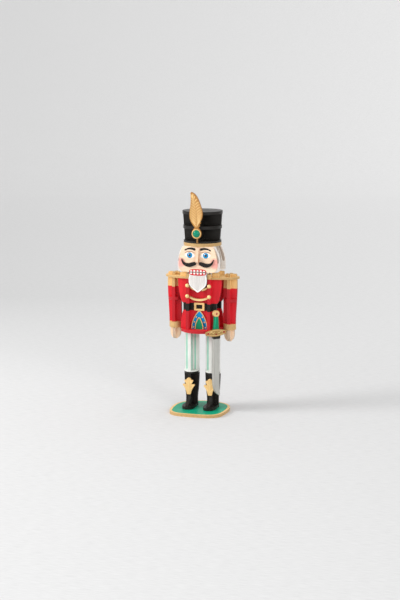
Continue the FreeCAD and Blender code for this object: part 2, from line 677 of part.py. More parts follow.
def hat_band():
    """Gilt band sheet under the brim, with holes for the head sheets."""
    holes = [tab_hole(x, 0, PLY / 2, HEAD_TOP_TAB, BAND_Z, BRIM_Z) for x in (-SIDE_X, SIDE_X)]
    return cut_all(disc(BAND_R, BAND_Z, BAND_T), holes)


def hat_brim():
    """Black level sheet on the band."""
    return cut_all(disc(BRIM_R, BRIM_Z, THIN_PLY), hat_tab_holes(BRIM_Z, BRIM_Z + THIN_PLY))


def hat_ring_halves():
    """Middle level sheet of the hat, in two halves."""
    return halves(disc(RING_R, RING_Z), 0, HAT_NOTCH_Y, RING_Z, RING_Z + PLY)


def hat_top():
    """Top level sheet, flat where the feather leans on it."""
    plate = disc(HAT_TOP_R, HAT_TOP_Z).cut(box(-60, 60, -60, FEATHER_Y, HAT_TOP_Z, HAT_TOP_Z + PLY))
    return cut_all(plate, hat_tab_holes(HAT_TOP_Z, HAT_TOP_Z + PLY))


def hat_flare(half_top):
    """Right half of the hat's outline, from the brim to the underside of the top."""
    floor = BRIM_Z + THIN_PLY
    return [
        [(0, floor), (17.9, floor)],
        [(17.9, floor), (half_top, HAT_TOP_Z)],
        [(half_top, HAT_TOP_Z), (0, HAT_TOP_Z)],
    ]


def hat_front():
    """Front sheet of the hat, widening upwards, lapped from below; its ribs fill the ring's gap."""
    plate = front_sheet(both_sides(hat_flare(HAT_TOP_R - 0.15)), -PLY / 2)
    half = PLY / 2
    plate = plate.fuse(box(-RING_R, RING_R, -half, half, RING_Z, RING_Z + PLY))
    plate = plate.fuse(box(-HAT_TAB, HAT_TAB, -half, half, BRIM_Z, HAT_TOP_Z + PLY))
    return plate.removeSplitter().cut(slot_x(0, 0, HAT_LAP_Z))


def hat_side():
    """Side sheet of the hat on the middle line, lapped from above and notched for the ring."""
    plate = side_sheet(both_sides(hat_flare(-FEATHER_Y - FIT)), 0)
    half = PLY / 2
    for sign in (-1, 1):
        y0, y1 = sorted((sign * HAT_EAR_Y[0], sign * HAT_EAR_Y[1]))
        plate = plate.fuse(box(-half, half, y0, y1, BRIM_Z, HAT_TOP_Z + PLY))
    notches = edge_notches(RING_R, HAT_NOTCH_Y, RING_Z, RING_Z + PLY)
    return cut_all(plate.removeSplitter(), [slot_y(0, HAT_LAP_Z, HAT_TOP_Z)] + notches)


def feather():
    """Plume, jewel setting and stem cut as one thin sheet on the front of the hat."""
    stem_z = BRIM_Z + 1.0
    outline = [
        [(1.5, stem_z), (1.5, 175.7)],
        [(1.5, 175.7), (3.85, 177.2), (4.95, 180.4), (3.9, 183.6), (1.75, 186.4)],
        [(1.75, 186.4), (2.9, 187.3), (3.5, 188.5)],
        [(3.5, 188.5), (2.6, 189.3)],
        [(2.6, 189.3), (3.8, 190.2), (4.4, 191.5)],
        [(4.4, 191.5), (3.4, 192.3)],
        [(3.4, 192.3), (4.8, 193.8), (5.6, 196.0), (6.1, 199.8), (5.0, 205.6), (3.1, 211.0),
         (0.9, 215.8), (-1.8, 219.2), (-5.2, 221.0)],
        [(-5.2, 221.0), (-5.9, 220.4), (-6.0, 219.4)],
        [(-6.0, 219.4), (-5.8, 213.4), (-6.4, 206.0), (-7.15, 200.2), (-6.6, 194.4), (-4.3, 189.8),
         (-1.75, 186.4)],
        [(-1.75, 186.4), (-3.9, 183.6), (-4.95, 180.4), (-3.85, 177.2), (0, 175.45)],
        [(0, 175.45), (0, stem_z)],
        [(0, stem_z), (1.5, stem_z)],
    ]
    return front_sheet(outline, FEATHER_Y - THIN_PLY, THIN_PLY)


# ---------------------------------------------------------------- sword

SWORD_BACK = -SKIRT_R          # the sword is built facing -Y, then turned round the skirt
GUARD_HALF_LENGTH = 11.7
GUARD_SHIFT = -1.5             # the guard reaches further towards the front


def turned(shape):
    """Turn a sword piece from straight ahead to its place round the skirt."""
    shape.rotate(V(0, 0, 0), V(0, 0, 1), SWORD_AZIMUTH)
    return shape


def sword():
    """Hilt, pommel and curved blade in one sheet, hung on the skirt's tongue."""
    w = SWORD_HALF_W
    y_front = SWORD_BACK - PLY
    outline = [
        [(1.8, 98.4), (2.75, 85.4)],
        [(2.75, 85.4), (w, 85.4)],
        [(w, 85.4), (w, 34.0)],
        [(w, 34.0), (w + 0.2, 26.0), (w + 0.7, 18.7)],
        [(w + 0.7, 18.7), (w + 0.5, 18.1), (w - 0.2, 18.1)],
        [(w - 0.2, 18.1), (0.8, 20.0), (-1.6, 23.4), (-2.9, 27.8), (-w, 33.0)],
        [(-w, 33.0), (-w, 85.4)],
        [(-w, 85.4), (-2.75, 85.4)],
        [(-2.75, 85.4), (-1.8, 98.4)],
        [(-1.8, 98.4), (1.8, 98.4)],
    ]
    blade = front_sheet(outline, y_front)
    pommel = Part.makeCylinder(POMMEL_R, PLY, V(0, y_front, POMMEL_Z), V(0, 1, 0))
    half = TONGUE_HALF_W + FIT
    hole = box(-half, half, -60, 60, SKIRT_Z - FIT, SKIRT_Z + PLY + FIT)
    return turned(blade.fuse(pommel).removeSplitter().cut(hole))


def sword_guard():
    """Lens-shaped guard glued over the sword, hiding the skirt's tongue."""
    end = GUARD_HALF_LENGTH
    outline = [
        [(end, 80.5), (end + 0.7, 82.2), (end, 83.9)],
        [(end, 83.9), (0, 85.7), (-end, 83.9)],
        [(-end, 83.9), (-end - 0.7, 82.2), (-end, 80.5)],
        [(-end, 80.5), (0, 78.6), (end, 80.5)],
    ]
    return turned(front_sheet(shifted(outline, GUARD_SHIFT), SWORD_BACK - PLY - VENEER, VENEER))


def sword_gems():
    """Three round stones on the guard and one on the pommel."""
    guard_y = SWORD_BACK - PLY - VENEER
    stones = [dome(GEM_R, 0.7, guard_y, u + GUARD_SHIFT, 82.2) for u in (-9.6, 9.6)]
    stones.append(dome(0.8 * GEM_R, 0.6, guard_y, GUARD_SHIFT, 80.7))
    stones.append(dome(GEM_R, 0.7, SWORD_BACK - PLY, 0, POMMEL_Z))
    return turned(Part.makeCompound(stones))


# ---------------------------------------------------------------- assembly

def pair(name, shape):
    """The same piece on the figure's left (+X) and right (-X)."""
    return {name + "_left": shape, name + "_right": mirror_x(shape)}


def pieces():
    """Every piece in place, by node name."""
    found = {"base_plate": base_plate()}
    found.update(pair("boot_sole", sole()))
    found.update(pair("leg_front", leg_front()))
    found.update(pair("leg_side", leg_side()))
    found.update(pair("hem", hem_halves()))
    found.update(pair("boot_crest", boot_crest()))
    found["skirt_disc"] = skirt_disc()
    found["torso_front"] = torso_sheet(-TORSO_Y, LEVER_SLOT_FRONT_Z)
    found["torso_back"] = torso_sheet(TORSO_Y, LEVER_SLOT_BACK_Z)
    found.update(pair("side_frame", side_frame()))
    found["shoulder_board"] = shoulder_board()
    found["belt_buckle"] = belt_buckle()
    found["apron_panel"] = apron_panel(8.5, 102.6, TORSO_FRONT_Y - VENEER)
    found["apron_centre"] = apron_panel(4.5, 96.2, TORSO_FRONT_Y - 2 * VENEER)
    found["garland_lower"] = garland(BUTTON_ZS[1], -(SIDE_X - PLY / 2 - FIT), 2.4)
    found.update(pair("garland_upper", garland(BUTTON_ZS[0], 3.0, 3.4)))
    found["coat_buttons"] = coat_buttons()
    found.update(pair("arm_front", arm_front()))
    found.update(pair("arm_side", arm_side()))
    found.update(pair("elbow", elbow_halves()))
    found.update(pair("cuff", cuff_halves()))
    found["face"] = face_sheet()
    found["hair_front"] = hair_sheet(HAIR_FRONT_Y).cut(nose_slot())
    found["hair_back"] = hair_sheet(HEAD_BACK_Y)
    found.update(pair("head_side", head_side()))
    found["nose"] = nose()
    found.update(pair("moustache", moustache()))
    found["jaw_beard"] = jaw_sheet()
    found["jaw_lever"] = jaw_lever()
    found["jaw_pin"] = jaw_pin()
    found["hat_band"] = hat_band()
    found["hat_brim"] = hat_brim()
    found["hat_ring"] = hat_ring_halves()
    found["hat_top"] = hat_top()
    found["hat_front"] = hat_front()
    found["hat_side"] = hat_side()
    found["feather"] = feather()
    found["feather_jewel"] = dome(JEWEL_R, 2.2, FEATHER_Y - THIN_PLY, 0, JEWEL_Z)
    found["sword"] = sword()
    found["sword_guard"] = sword_guard()
    found["sword_gems"] = sword_gems()
    return found


os.makedirs("parts", exist_ok=True)
built = pieces()
unsound = [node for node, shape in built.items() if not (shape.isValid() and shape.Solids)]
assert not unsound, unsound
for node, shape in built.items():
    shape.exportStep("parts/" + node + ".step")
print(len(built), "nodes,", sum(len(shape.Solids) for shape in built.values()), "solids")
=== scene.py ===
"""Looks for the slot-together plywood nutcracker: painted sheets, raised trim, studio light and camera."""
import math

import bmesh
import bpy
from mathutils import Matrix, Vector


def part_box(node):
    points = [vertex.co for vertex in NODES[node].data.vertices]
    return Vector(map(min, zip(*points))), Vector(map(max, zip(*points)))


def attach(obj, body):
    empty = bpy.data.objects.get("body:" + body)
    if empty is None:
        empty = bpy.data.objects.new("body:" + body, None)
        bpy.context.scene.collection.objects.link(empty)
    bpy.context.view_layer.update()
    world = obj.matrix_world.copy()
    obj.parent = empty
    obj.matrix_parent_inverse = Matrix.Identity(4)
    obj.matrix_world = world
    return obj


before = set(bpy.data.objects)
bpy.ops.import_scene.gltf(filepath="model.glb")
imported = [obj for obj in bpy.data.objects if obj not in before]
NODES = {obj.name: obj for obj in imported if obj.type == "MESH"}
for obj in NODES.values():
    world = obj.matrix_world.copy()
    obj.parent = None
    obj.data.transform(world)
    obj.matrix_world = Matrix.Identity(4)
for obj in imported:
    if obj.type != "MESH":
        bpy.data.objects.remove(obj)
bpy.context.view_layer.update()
MM = 0.001

# Plan shared with the CAD sheets, in millimetres
LEG_X = 11.0
TORSO_FRONT = -10.0
FRAME_FRONT = -15.8
FACE_FRONT = -17.2
HAIR_FRONTS = (-14.2, 7.0)
HAIR_BACKS = (-11.2, 10.0)
FEATHER_FRONT = -21.6
FEATHER_BACK = -19.6
BOOT_TOP_Z = 37.6
APRON_FLOOR_Z = 84.0
CUFF_Z = 83.6
BUTTON_X = 11.2
BUTTON_ZS = (128.0, 117.35)
EYE_X = 8.2
EYE_Z = 158.6
JEWEL_Z = 180.4
SWORD_TURN = math.radians(51.2)
POMMEL_Z = 101.0
GUARD_SHIFT = -1.5
SWORD_FRONT = -24.5
GUARD_FRONT = -25.7


# ---------------------------------------------------------------- paint

def srgb(r, g, b):
    """Linear colour from 0-255 display values."""
    def linear(v):
        v /= 255.0
        return v / 12.92 if v <= 0.04045 else ((v + 0.055) / 1.055) ** 2.4
    return (linear(r), linear(g), linear(b), 1.0)


RED = srgb(224, 38, 50)
BLACK = srgb(38, 35, 31)
BOOT_BLACK = srgb(36, 33, 29)
WHITE = srgb(236, 235, 231)
MINT = srgb(160, 222, 200)
GOLD = srgb(245, 202, 136)
PALE_GOLD = srgb(246, 214, 150)
# Painted shade: the feather sheet is a darker gold, so the gaps between its lighter raised barbs read as
# shade.
FEATHER_SHADE_GOLD = srgb(186, 132, 70)
GREEN = srgb(0, 164, 124)
DEEP_GREEN = srgb(8, 142, 100)
BLUE = srgb(0, 150, 214)
SKIN = srgb(250, 220, 190)
CHEEK = srgb(255, 172, 162)
HAIR_LIGHT = srgb(240, 237, 233)
HAIR_DARK = srgb(178, 164, 152)
BEARD = srgb(224, 220, 216)
BEARD_RIM = srgb(246, 246, 244)
BIRCH = srgb(214, 178, 128)
BLADE = srgb(188, 187, 181)
LIP = srgb(214, 34, 40)
TOOTH = srgb(250, 249, 244)
IRIS = srgb(0, 158, 214)
IRIS_RIM = srgb(0, 104, 160)
PUPIL = srgb(92, 46, 20)
INK = srgb(30, 28, 26)
LASH = srgb(150, 95, 70)


class Paint:
    """A painted-wood material under construction: zones of colour, grain, brush marks and plies."""

    def __init__(self, name, colour, rough=0.48, metallic=0.0):
        self.mat = bpy.data.materials.new(name)
        self.mat.use_nodes = True
        self.tree = self.mat.node_tree
        self.shader = self.tree.nodes["Principled BSDF"]
        self.shader.inputs["Metallic"].default_value = metallic
        self.shader.inputs["Specular IOR Level"].default_value = 0.25
        texture = self.tree.nodes.new("ShaderNodeTexCoord")
        self.coords = texture.outputs["Object"]
        self.axis = self.components(self.coords)
        self.normal = self.components(texture.outputs["Normal"])
        self.colour = self.rgb(colour)
        self.rough = rough

    def link(self, out, socket):
        self.tree.links.new(out, socket)

    def feed(self, socket, value):
        """Link an output, or set a plain number or colour."""
        if isinstance(value, bpy.types.NodeSocket):
            self.link(value, socket)
        else:
            socket.default_value = value

    def components(self, vector):
        split = self.tree.nodes.new("ShaderNodeSeparateXYZ")
        self.link(vector, split.inputs[0])
        return {"x": split.outputs[0], "y": split.outputs[1], "z": split.outputs[2]}

    def rgb(self, colour):
        node = self.tree.nodes.new("ShaderNodeRGB")
        node.outputs[0].default_value = colour
        return node.outputs[0]

    def math(self, operation, a, b=0.0, clamp=False):
        node = self.tree.nodes.new("ShaderNodeMath")
        node.operation = operation
        node.use_clamp = clamp
        self.feed(node.inputs[0], a)
        self.feed(node.inputs[1], b)
        return node.outputs[0]

    def mix(self, share, a, b, blend="MIX"):
        node = self.tree.nodes.new("ShaderNodeMix")
        node.data_type = "RGBA"
        node.blend_type = blend
        self.feed(node.inputs[0], share)
        self.feed(node.inputs[6], a)
        self.feed(node.inputs[7], b)
        return node.outputs[2]

    def band(self, value, low, high, soft=0.08):
        """1 where value, in metres, lies between low and high in millimetres."""
        rise = self.math("MULTIPLY_ADD", value, 1.0 / (soft * MM))
        rise.node.inputs[2].default_value = -low / soft
        fall = self.math("MULTIPLY_ADD", value, -1.0 / (soft * MM))
        fall.node.inputs[2].default_value = high / soft
        rise.node.use_clamp = True
        fall.node.use_clamp = True
        return self.math("MULTIPLY", rise, fall)

    def noise(self, scale, stretch=(1.0, 1.0, 1.0), detail=3.0, seed=0.0):
        mapping = self.tree.nodes.new("ShaderNodeMapping")
        mapping.inputs["Scale"].default_value = [scale * s for s in stretch]
        mapping.inputs["Location"].default_value = (seed, seed * 0.7, seed * 1.3)
        self.link(self.coords, mapping.inputs[0])
        node = self.tree.nodes.new("ShaderNodeTexNoise")
        node.inputs["Scale"].default_value = 1.0
        node.inputs["Detail"].default_value = detail
        self.link(mapping.outputs[0], node.inputs["Vector"])
        return node.outputs["Fac"]

    def remap(self, value, a0, a1, b0, b1):
        node = self.tree.nodes.new("ShaderNodeMapRange")
        for socket, number in zip(node.inputs[1:5], (a0, a1, b0, b1)):
            socket.default_value = number
        self.link(value, node.inputs[0])
        return node.outputs[0]

    def over(self, share, colour):
        """Paint another colour on top where share is 1."""
        self.colour = self.mix(share, self.colour, colour)

    def zone(self, axis, low, high, colour, soft=0.08):
        self.over(self.band(self.axis[axis], low, high, soft), colour)

    def stripe(self, axis, middle, half, colour, above):
        """A stripe of given half width, on the part higher than a level."""
        inside = self.band(self.axis[axis], middle - half, middle + half)
        high = self.band(self.axis["z"], above, 1000.0)
        self.over(self.math("MULTIPLY", inside, high), colour)

    def spot(self, x, z, half_x, half_z, colour, strength):
        """A soft oval blush."""
        u = self.math("MULTIPLY", self.math("SUBTRACT", self.axis["x"], x * MM), 1.0 / (half_x * MM))
        v = self.math("MULTIPLY", self.math("SUBTRACT", self.axis["z"], z * MM), 1.0 / (half_z * MM))
        r2 = self.math("ADD", self.math("MULTIPLY", u, u), self.math("MULTIPLY", v, v))
        share = self.remap(r2, 0.35, 1.15, strength, 0.0)
        self.over(share, colour)

    def plies(self, axis, start, thickness):
        """Darker glue lines at the thirds of the sheet: they show only on its cut edges."""
        for third in (1 / 3, 2 / 3):
            middle = start + thickness * third
            line = self.band(self.axis[axis], middle - 0.13, middle + 0.13, 0.12)
            self.colour = self.mix(self.math("MULTIPLY", line, 0.24), self.colour, (0.04, 0.025, 0.015, 1.0))

    def cut_edges(self, axis, shade):
        """Paint sinks into end grain: the sheet's cut edges are duller than its faces."""
        across = self.math("ABSOLUTE", self.normal[axis])
        share = self.remap(across, 0.5, 0.8, 1.0, 0.0)
        self.colour = self.mix(share, self.colour, self.mix(1.0, self.colour, shade, "MULTIPLY"))

    def finish(self, grain="z", seed=0.0, bump=0.35, mottle=0.10):
        """Brush mottle, wood grain under the paint, scuffs, and roughness that follows them."""
        stretch = {"x": (0.07, 1.0, 1.0), "y": (1.0, 0.07, 1.0), "z": (1.0, 1.0, 0.07)}[grain]
        fibres = self.noise(1500.0, stretch, 4.0, seed)
        strokes = self.noise(420.0, stretch, 2.0, seed + 3.0)
        cloud = self.noise(90.0, (1.0, 1.0, 1.0), 2.0, seed + 7.0)
        shade = self.math("ADD", self.remap(strokes, 0.3, 0.7, 1.0 - mottle, 1.0 + mottle * 0.5),
                          self.remap(cloud, 0.3, 0.7, -mottle * 0.5, mottle * 0.3))
        shade = self.math("MULTIPLY", shade, self.remap(fibres, 0.35, 0.6, 0.93, 1.02))
        grey = self.tree.nodes.new("ShaderNodeCombineColor")
        for socket in grey.inputs:
            self.link(shade, socket)
        painted = self.mix(1.0, self.colour, grey.outputs[0], "MULTIPLY")
        self.link(painted, self.shader.inputs["Base Color"])
        rough = self.remap(self.math("ADD", fibres, cloud), 0.7, 1.3, self.rough - 0.07, self.rough + 0.1)
        self.link(rough, self.shader.inputs["Roughness"])
        height = self.math("ADD", self.math("MULTIPLY", fibres, 0.6), self.math("MULTIPLY", strokes, 0.8))
        node = self.tree.nodes.new("ShaderNodeBump")
        node.inputs["Strength"].default_value = bump
        node.inputs["Distance"].default_value = 0.09 * MM
        self.link(height, node.inputs["Height"])
        self.link(node.outputs[0], self.shader.inputs["Normal"])
        return self.mat


def plain_paint(name, colour, rough=0.48, metallic=0.0, **finish):
    """A one-colour paint with the same grain and brush marks."""
    return Paint(name, colour, rough, metallic).finish(**finish)


def gem_material(name, colour, deep):
    """Polished stone: one colour that deepens towards its rim, under a thin gloss coat."""
    paint = Paint(name, colour, 0.08)
    facing = paint.tree.nodes.new("ShaderNodeLayerWeight")
    facing.inputs["Blend"].default_value = 0.35
    paint.colour = paint.mix(facing.outputs["Facing"], colour, deep)
    veins = paint.noise(700.0, (1, 1, 1), 3.0, 5.0)
    paint.colour = paint.mix(paint.remap(veins, 0.42, 0.62, 0.0, 0.35), paint.colour, deep)
    paint.link(paint.colour, paint.shader.inputs["Base Color"])
    haze = paint.remap(veins, 0.3, 0.7, 0.05, 0.12)
    paint.link(haze, paint.shader.inputs["Roughness"])
    paint.shader.inputs["Coat Weight"].default_value = 0.45
    paint.shader.inputs["Coat Roughness"].default_value = 0.03
    paint.shader.inputs["Specular IOR Level"].default_value = 0.1
    return paint.mat


# ---------------------------------------------------------------- CAD sheets

THIN_AXIS = "xyz"


DULL_EDGE = (0.69, 0.68, 0.69, 1.0)
SAME_EDGE = (1.0, 1.0, 1.0, 1.0)


def sheet_paint(node, colour, rough=0.48, metallic=0.0, zones=(), plies=True, edge=DULL_EDGE):
    """Paint for one CAD sheet: thin axis and place come from its own box."""
    low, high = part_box(node)
    size = [h - l for l, h in zip(low, high)]
    thin = min(range(3), key=lambda i: size[i])
    long = max(range(3), key=lambda i: size[i])
    paint = Paint("paint_" + node, colour, rough, metallic)
    for zone in zones:
        zone(paint)
    paint.cut_edges(THIN_AXIS[thin], edge)
    if plies and size[thin] < 3.6 * MM:
        paint.plies(THIN_AXIS[thin], low[thin] / MM, size[thin] / MM)
    seed = sum(ord(letter) for letter in node) % 97 * 0.37
    return paint.finish(THIN_AXIS[long], seed)


def soften(node, width=0.22, segments=2):
    """Ease the cut edges of a CAD sheet, as paint and sanding do."""
    obj = NODES[node]
    bevel = obj.modifiers.new("eased_edges", "BEVEL")
    bevel.width = width * MM
    bevel.segments = segments
    bevel.limit_method = "ANGLE"
    bevel.angle_limit = math.radians(38)
    bevel.use_clamp_overlap = True


def dress(node, mat, width=0.22, segments=2):
    """Give a CAD node its paint and eased edges."""
    obj = NODES[node]
    obj.data.materials.clear()
    obj.data.materials.append(mat)
    soften(node, width, segments)


def belt_zone(paint):
    paint.zone("z", 102.5, 110.1, BLACK)


def posts_zone(paint):
    paint.zone("z", 134.9, 200.0, GOLD)


def arm_zones(paint):
    paint.zone("z", 124.8, 200.0, GOLD)
    paint.zone("z", 60.0, CUFF_Z, SKIN)


def sleeve_fill(paint):
    paint.zone("z", CUFF_Z, 89.2, GOLD)


def leg_front_zones(side):
    def zones(paint):
        for offset in (-5.0, 3.7):
            paint.stripe("x", side * LEG_X + offset, 0.75, MINT, 40.6)
        paint.zone("z", 0.0, BOOT_TOP_Z, BOOT_BLACK)
    return zones


def leg_side_zones(paint):
    for offset in (-5.5, 5.5):
        paint.stripe("y", offset, 1.9, MINT, 40.6)
    paint.zone("z", 0.0, BOOT_TOP_Z, BOOT_BLACK)


def hem_zone(paint):
    paint.zone("z", 37.0, 39.5, BOOT_BLACK)


def cheeks(paint):
    for side in (-1, 1):
        paint.spot(side * 17.6, 150.8, 5.2, 5.6, CHEEK, 0.9)
    paint.spot(0, 147.5, 5.0, 3.0, CHEEK, 0.12)


def nose_flank_shade(paint):
    # Painted shade: the nose sheet's side faces are painted a darker tan, and its front gets a faint tint of
    # the same.
    across = paint.math("ABSOLUTE", paint.normal["x"])
    paint.over(paint.remap(across, 0.5, 0.9, 0.12, 1.0), srgb(204, 138, 90))


def lever_zones(paint):
    paint.zone("y", 17.0, 60.0, BLACK, 0.2)


def stem_shade_zone(paint):
    # Painted shade: the feather's lower part round the stem is painted a darker brown-gold.
    paint.zone("z", 160.0, 175.6, srgb(150, 108, 60))


def sword_zones(paint):
    paint.zone("z", 0.0, 78.4, BLADE)
    paint.zone("z", 76.2, 79.6, BLACK)
    paint.zone("z", 98.2, 120.0, GOLD)


for side, sign in (("left", 1), ("right", -1)):
    dress("leg_front_" + side, sheet_paint("leg_front_" + side, WHITE, zones=[leg_front_zones(sign)],
                                           plies=False, edge=SAME_EDGE))
    dress("leg_side_" + side, sheet_paint("leg_side_" + side, WHITE, zones=[leg_side_zones],
                                          plies=False, edge=SAME_EDGE))
    dress("hem_" + side, sheet_paint("hem_" + side, WHITE, zones=[hem_zone], plies=False, edge=SAME_EDGE))
    dress("boot_sole_" + side, sheet_paint("boot_sole_" + side, BOOT_BLACK, 0.42), 0.5, 3)
    dress("boot_crest_" + side, sheet_paint("boot_crest_" + side, GOLD, 0.42, 0.15), 0.35, 3)
    dress("arm_front_" + side, sheet_paint("arm_front_" + side, RED, zones=[arm_zones, sleeve_fill]))
    dress("arm_side_" + side, sheet_paint("arm_side_" + side, RED, zones=[arm_zones, sleeve_fill]))
    dress("elbow_" + side, sheet_paint("elbow_" + side, RED), 0.35, 3)
    dress("cuff_" + side, sheet_paint("cuff_" + side, GOLD, 0.42, 0.15), 0.3, 2)
    dress("side_frame_" + side, sheet_paint("side_frame_" + side, RED, zones=[belt_zone, posts_zone]))
    dress("garland_upper_" + side, sheet_paint("garland_upper_" + side, PALE_GOLD, 0.36, 0.15), 0.7, 4)
    dress("moustache_" + side, sheet_paint("moustache_" + side, INK, 0.4, plies=False), 0.4, 3)
    dress("head_side_" + side, sheet_paint("head_side_" + side, HAIR_LIGHT, plies=False, edge=SAME_EDGE))
dress("base_plate", sheet_paint("base_plate", GOLD, 0.44, 0.1), 0.4, 3)
dress("skirt_disc", sheet_paint("skirt_disc", RED), 0.4, 3)
for node in ("torso_front", "torso_back"):
    dress(node, sheet_paint(node, RED, zones=[belt_zone, posts_zone]))
dress("shoulder_board", sheet_paint("shoulder_board", GOLD, 0.42, 0.15), 0.5, 3)
dress("belt_buckle", sheet_paint("belt_buckle", GOLD, 0.34, 0.3), 0.35, 3)
dress("apron_panel", sheet_paint("apron_panel", BLUE, plies=False), 0.2, 2)
dress("apron_centre", sheet_paint("apron_centre", DEEP_GREEN, plies=False), 0.2, 2)
dress("garland_lower", sheet_paint("garland_lower", PALE_GOLD, 0.36, 0.15), 0.7, 4)
dress("coat_buttons", plain_paint("paint_coat_buttons", PALE_GOLD, 0.3, 0.3), 0.15, 1)
dress("face", sheet_paint("face", SKIN, zones=[cheeks], plies=False, edge=SAME_EDGE), 0.3, 3)
for node in ("hair_front", "hair_back"):
    dress(node, sheet_paint(node, HAIR_LIGHT, plies=False, edge=SAME_EDGE))
dress("nose", sheet_paint("nose", SKIN, zones=[nose_flank_shade], plies=False, edge=SAME_EDGE), 0.5, 4)
dress("jaw_beard", sheet_paint("jaw_beard", BEARD), 0.3, 3)
dress("jaw_lever", sheet_paint("jaw_lever", RED, zones=[lever_zones]))
dress("jaw_pin", plain_paint("paint_jaw_pin", BIRCH, 0.6, grain="x"), 0.1, 1)
dress("hat_band", sheet_paint("hat_band", GOLD, 0.4, 0.2), 0.4, 3)
for node in ("hat_brim", "hat_ring", "hat_top"):
    dress(node, sheet_paint(node, BLACK, 0.36), 0.45, 3)
for node in ("hat_front", "hat_side"):
    dress(node, sheet_paint(node, BLACK, 0.38))
# Painted shade: the feather sheet is darker than its barbs, and darker still at the stem.
dress("feather", sheet_paint("feather", FEATHER_SHADE_GOLD, 0.42, 0.15, zones=[stem_shade_zone]), 0.35, 3)
dress("sword", sheet_paint("sword", DEEP_GREEN, zones=[sword_zones], plies=False), 0.35, 3)
dress("sword_guard", sheet_paint("sword_guard", srgb(214, 170, 102), 0.36, 0.25, plies=False), 0.25, 2)
GREEN_GEM = gem_material("emerald_stone", srgb(0, 146, 112), srgb(0, 74, 54))
RED_GEM = gem_material("ruby_stone", srgb(196, 16, 44), srgb(90, 4, 20))
dress("feather_jewel", GREEN_GEM, 0.1, 1)
dress("sword_gems", RED_GEM, 0.1, 1)


# ---------------------------------------------------------------- raised pieces

def facing_front(y):
    """Drawing plane whose (u, v) are X and Z, raised towards -Y from y millimetres."""
    return Matrix.Translation((0, y * MM, 0)) @ Matrix.Rotation(math.pi / 2, 4, "X")


def facing_back(y):
    """The same on a face that looks towards +Y; u runs towards -X."""
    return Matrix.Rotation(math.pi, 4, "Z") @ facing_front(-y)


def facing_sword(y):
    """The same on the sword, before it is turned round the skirt."""
    return Matrix.Rotation(SWORD_TURN, 4, "Z") @ facing_front(y)


def facing_up(z):
    """Drawing plane whose (u, v) are X and Y, raised upwards from z millimetres."""
    return Matrix.Translation((0, 0, z * MM))


def settle(name, mesh, mat, body):
    """Make a riding piece of a finished mesh."""
    obj = bpy.data.objects.new(name, mesh)
    bpy.context.scene.collection.objects.link(obj)
    mesh.materials.clear()
    mesh.materials.append(mat)
    for polygon in mesh.polygons:
        polygon.use_smooth = True
    mesh.set_sharp_from_angle(angle=math.radians(50))
    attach(obj, body)
    return obj


def mesh_of_curve(curve, plane, squash=1.0):
    """Mesh of a curve drawn in millimetres, placed on a plane and flattened across it."""
    holder = bpy.data.objects.new("holder", curve)
    bpy.context.scene.collection.objects.link(holder)
    mesh = bpy.data.meshes.new_from_object(holder.evaluated_get(bpy.context.evaluated_depsgraph_get()))
    bpy.data.objects.remove(holder)
    bpy.data.curves.remove(curve)
    mesh.transform(plane @ Matrix.Diagonal((MM, MM, MM * squash, 1.0)))
    return mesh


def add_loop(curve, points, smooth):
    """Closed outline: smooth through its control points, or straight-sided."""
    spline = curve.splines.new("BEZIER" if smooth else "POLY")
    if smooth:
        spline.bezier_points.add(len(points) - 1)
        for point, (u, v) in zip(spline.bezier_points, points):
            point.co = (u, v, 0)
            point.handle_left_type = point.handle_right_type = "AUTO"
    else:
        spline.points.add(len(points) - 1)
        for point, (u, v) in zip(spline.points, points):
            point.co = (u, v, 0, 1)
    spline.use_cyclic_u = True


def relief_mesh(loops, plane, height, smooth=True, bevel=0.12):
    """Filled shape standing height proud of the plane, with a rounded edge."""
    curve = bpy.data.curves.new("outline", "CURVE")
    curve.dimensions = "2D"
    curve.fill_mode = "BOTH"
    curve.resolution_u = 10
    curve.extrude = height
    curve.bevel_depth = min(bevel, height * 0.6)
    curve.bevel_resolution = 2
    curve.offset = -curve.bevel_depth
    curve.extrude -= curve.bevel_depth
    for points in loops:
        add_loop(curve, points, smooth)
    return mesh_of_curve(curve, plane)


def relief(name, loops, plane, height, mat, body, smooth=True, bevel=0.12):
    return settle(name, relief_mesh(loops, plane, height, smooth, bevel), mat, body)


def ridge_mesh(points, radii, plane, squash=0.5, closed=False):
    """Rounded ridge along a smooth path, with a radius at each of its points."""
    curve = bpy.data.curves.new("path", "CURVE")
    curve.dimensions = "3D"
    curve.resolution_u = 8
    curve.bevel_depth = 1.0
    curve.bevel_resolution = 3
    curve.use_fill_caps = True
    spline = curve.splines.new("BEZIER")
    spline.bezier_points.add(len(points) - 1)
    for point, (u, v), radius in zip(spline.bezier_points, points, radii):
        point.co = (u, v, 0)
        point.radius = radius
        point.handle_left_type = point.handle_right_type = "AUTO"
    spline.use_cyclic_u = closed
    return mesh_of_curve(curve, plane, squash)


def join(meshes):
    """One mesh of several."""
    result = bmesh.new()
    for mesh in meshes:
        result.from_mesh(mesh)
        bpy.data.meshes.remove(mesh)
    whole = bpy.data.meshes.new("joined")
    result.to_mesh(whole)
    result.free()
    return whole


def mirrored(points):
    return [(-u, v) for u, v in points]


def on_side(points, sign):
    """Points drawn for the figure's left, as they are or mirrored."""
    return points if sign > 0 else mirrored(points)


def oval(u, v, half_u, half_v, count=12):
    return [(u + half_u * math.cos(2 * math.pi * i / count), v + half_v * math.sin(2 * math.pi * i / count))
            for i in range(count)]


